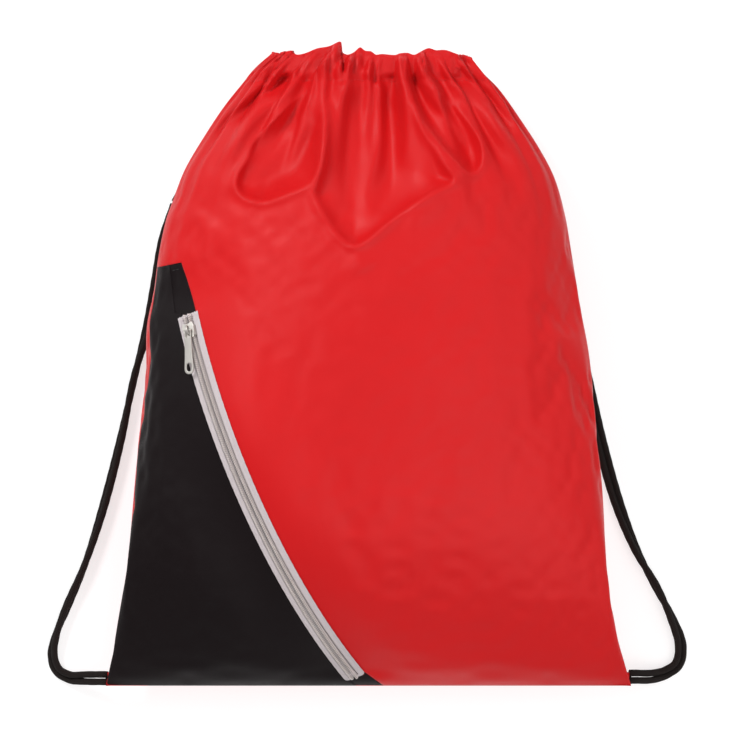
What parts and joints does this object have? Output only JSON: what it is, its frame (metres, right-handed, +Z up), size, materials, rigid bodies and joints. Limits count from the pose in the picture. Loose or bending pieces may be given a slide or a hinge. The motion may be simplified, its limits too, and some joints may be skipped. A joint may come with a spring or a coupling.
{
  "type": "drawstring backpack",
  "caption": "Cinched drawstring backpack lying on its back: gathered neck, slanted zip pocket in a contrasting corner, corded shoulder straps.",
  "frame": {"origin": "middle of the sack's footprint, on the surface it lies on", "axes": "+Y from the bottom seam to the gathered neck, +Z up through the sack's thickness from its back panel, +X to the right seen from the front"},
  "size_m": [0.4324, 0.432, 0.1024],
  "materials": {
    "red_cloth": "satin woven polyester",
    "black_cloth": "satin woven polyester",
    "zip_tape": "matt woven tape",
    "zip_coil": "matt nylon",
    "thread": "spun polyester thread",
    "zip_metal": "satin",
    "cord": "braided polyester"
  },
  "bodies": {
    "sack": {"rear_panel": "red_cloth", "front_panel": "red_cloth", "pocket_panel": "black_cloth", "pocket_lining": "black_cloth", "zip_facing": "black_cloth", "side_seam_left": "red_cloth", "side_seam_right": "red_cloth", "bottom_seam": "red_cloth", "front_hem": "red_cloth", "rear_hem": "red_cloth", "corner_tab_left": "black_cloth", "corner_tab_right": "black_cloth", "zip_tape_left": "zip_tape", "zip_tape_right": "zip_tape", "zip_coil_left": "zip_coil", "zip_coil_right": "zip_coil", "zip_stitching": "thread", "zip_bar_tacks": "thread", "left_drawcord": "cord", "right_drawcord": "cord"},
    "slider": {"zip_slider": "zip_metal"},
    "pull_tab": {"zip_pull": "zip_metal"},
    "left_strap": {"left_strap_cord": "cord"},
    "right_strap": {"right_strap_cord": "cord"}
  },
  "joints": [
    {"name": "zip_slide", "type": "hinge", "parent": "sack", "child": "slider", "pos_m": [-0.01257, -0.02936, -0.1378], "axis": [0.8743, 0.3415, 0.345], "range_deg": [0, 59.6]},
    {"name": "pull_flip", "type": "hinge", "parent": "slider", "child": "pull_tab", "pos_m": [-0.12115, 0.02439, 0.08417], "axis": [-0.9031, -0.1099, -0.4152], "range_deg": [0, 150]},
    {"name": "left_strap_lift", "type": "hinge", "parent": "sack", "child": "left_strap", "pos_m": [-0.1806, -0.21065, 0.0184], "axis": [0.1566, 0.9864, -0.0493], "range_deg": [0, 70]},
    {"name": "right_strap_lift", "type": "hinge", "parent": "sack", "child": "right_strap", "pos_m": [0.1806, -0.20965, 0.0184], "axis": [0.18, -0.9824, 0.049], "range_deg": [0, 70]}
  ]
}
